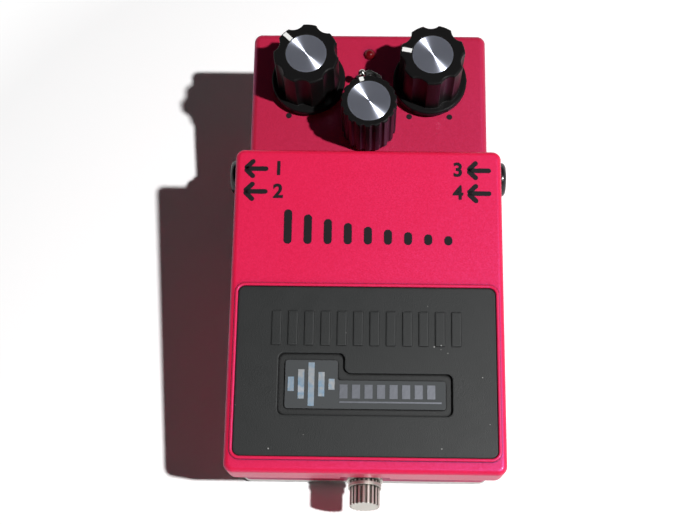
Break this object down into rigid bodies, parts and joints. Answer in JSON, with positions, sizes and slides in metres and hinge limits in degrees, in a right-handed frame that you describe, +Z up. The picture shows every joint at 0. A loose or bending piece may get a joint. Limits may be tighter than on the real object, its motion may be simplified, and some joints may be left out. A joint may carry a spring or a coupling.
{
  "type": "delay pedal",
  "caption": "Compact delay pedal with a hinged treadle, rotary knobs, a toggle switch, side jacks, a power socket and a battery bay held shut by a thumbscrew.",
  "frame": {"origin": "on the surface that the pedal stands on, below the middle of its overall box", "axes": "+X to the player's right, +Y to the rear edge with the knobs, +Z up"},
  "size_m": [0.0736, 0.129, 0.059],
  "materials": {
    "case_paint": "metallic magenta-red, semi-gloss",
    "treadle_paint": "metallic magenta-red, semi-gloss",
    "zinc_steel": "zinc plated",
    "spring_steel": "bright",
    "sole_rubber": "matte",
    "pad_rubber": "matte, fine grain",
    "badge_black": "semi-gloss",
    "silver_foil": "holographic foil",
    "nylon": "natural nylon",
    "black_nylon": "satin",
    "plunger_plastic": "satin",
    "board": "solder mask",
    "component": "satin",
    "can": "sleeved",
    "nickel": "nickel plated",
    "black_nut": "black nickel",
    "brass": "turned",
    "jack_plastic": "gloss",
    "pot_metal": "tinned",
    "shaft_metal": "turned",
    "knob_plastic": "gloss",
    "spun_aluminium": "spun",
    "pointer_white": "satin",
    "red_lens": "tinted",
    "battery_case": "satin",
    "lead_insulation": "satin"
  },
  "bodies": {
    "case": {"case": "case_paint", "base_plate": "zinc_steel", "base_screws": "zinc_steel", "board_screws": "zinc_steel", "return_spring": "spring_steel", "base_mat": "sole_rubber", "hinge_bushes": "nylon", "spring_seat": "black_nylon", "switch_body": "black_nylon", "battery_snap": "black_nylon", "toggle_body": "black_nylon", "led_spacer": "black_nylon", "switch_board": "board", "main_board": "board", "control_board": "board", "chips": "component", "capacitors": "can", "toggle_nut": "nickel", "pot_nuts": "nickel", "jack_washers": "nickel", "jack_nuts": "black_nut", "power_socket_nut": "black_nut", "thread_insert": "brass", "socket_contacts": "brass", "left_upper_jack": "jack_plastic", "left_lower_jack": "jack_plastic", "right_upper_jack": "jack_plastic", "right_lower_jack": "jack_plastic", "power_socket": "jack_plastic", "left_pot": "pot_metal", "centre_pot": "pot_metal", "right_pot": "pot_metal", "led": "red_lens", "battery": "battery_case", "battery_leads": "lead_insulation"},
    "treadle": {"treadle": "treadle_paint", "hinge_pins": "zinc_steel", "pin_clips": "zinc_steel", "treadle_pad": "pad_rubber", "badge_plate": "badge_black", "badge_symbol": "silver_foil", "guide_bush": "nylon", "spring_cup": "black_nylon", "switch_actuator": "zinc_steel"},
    "switch_plunger": {"switch_plunger": "plunger_plastic"},
    "thumbscrew_washer": {"thumbscrew_washer": "nickel"},
    "thumbscrew": {"thumbscrew": "nickel"},
    "left_knob": {"left_knob": "knob_plastic", "left_knob_cap": "spun_aluminium", "left_knob_pointer": "pointer_white", "left_pot_shaft": "shaft_metal"},
    "centre_knob": {"centre_knob": "knob_plastic", "centre_knob_cap": "spun_aluminium", "centre_knob_pointer": "pointer_white", "centre_pot_shaft": "shaft_metal"},
    "right_knob": {"right_knob": "knob_plastic", "right_knob_cap": "spun_aluminium", "right_knob_pointer": "pointer_white", "right_pot_shaft": "shaft_metal"},
    "toggle_lever": {"toggle_lever": "nickel"}
  },
  "joints": [
    {"name": "treadle_open", "type": "hinge", "parent": "case", "child": "treadle", "pos_m": [0, 0.01239, 0.04266], "axis": [-1, 0, 0], "range_deg": [-2.2, 65], "stiffness_Nm_per_rad": 0.5, "springref_deg": 2.11, "deforming": ["return_spring"]},
    {"name": "switch_plunger_press", "type": "slide", "parent": "case", "child": "switch_plunger", "axis": [0, 0, 1], "range_m": [-0.0017, 0], "stiffness_N_per_m": 300},
    {"name": "thumbscrew_feed", "type": "slide", "parent": "case", "child": "thumbscrew_washer", "axis": [0, 1, 0], "range_m": [0, 0.0048]},
    {"name": "thumbscrew_turn", "type": "hinge", "parent": "thumbscrew_washer", "child": "thumbscrew", "pos_m": [0, -0.058, 0.0188], "axis": [0, 1, 0], "range_deg": [0, 2160]},
    {"name": "left_knob_turn", "type": "hinge", "parent": "case", "child": "left_knob", "pos_m": [-0.0161, 0.04558, 0.03923], "axis": [0, -0.2079, 0.9781], "range_deg": [-196, 104]},
    {"name": "centre_knob_turn", "type": "hinge", "parent": "case", "child": "centre_knob", "pos_m": [0, 0.03301, 0.03656], "axis": [0, -0.2079, 0.9781], "range_deg": [-168.4, 131.6]},
    {"name": "right_knob_turn", "type": "hinge", "parent": "case", "child": "right_knob", "pos_m": [0.0161, 0.04558, 0.03923], "axis": [0, -0.2079, 0.9781], "range_deg": [-230, 70]},
    {"name": "toggle_throw", "type": "hinge", "parent": "case", "child": "toggle_lever", "pos_m": [0, 0.04563, 0.03924], "axis": [0, 0.9781, 0.2079], "range_deg": [0, 30]}
  ],
  "couplings": [
    {"joint": "thumbscrew_turn", "follows": "thumbscrew_feed", "rad_per_m": 7854}
  ]
}
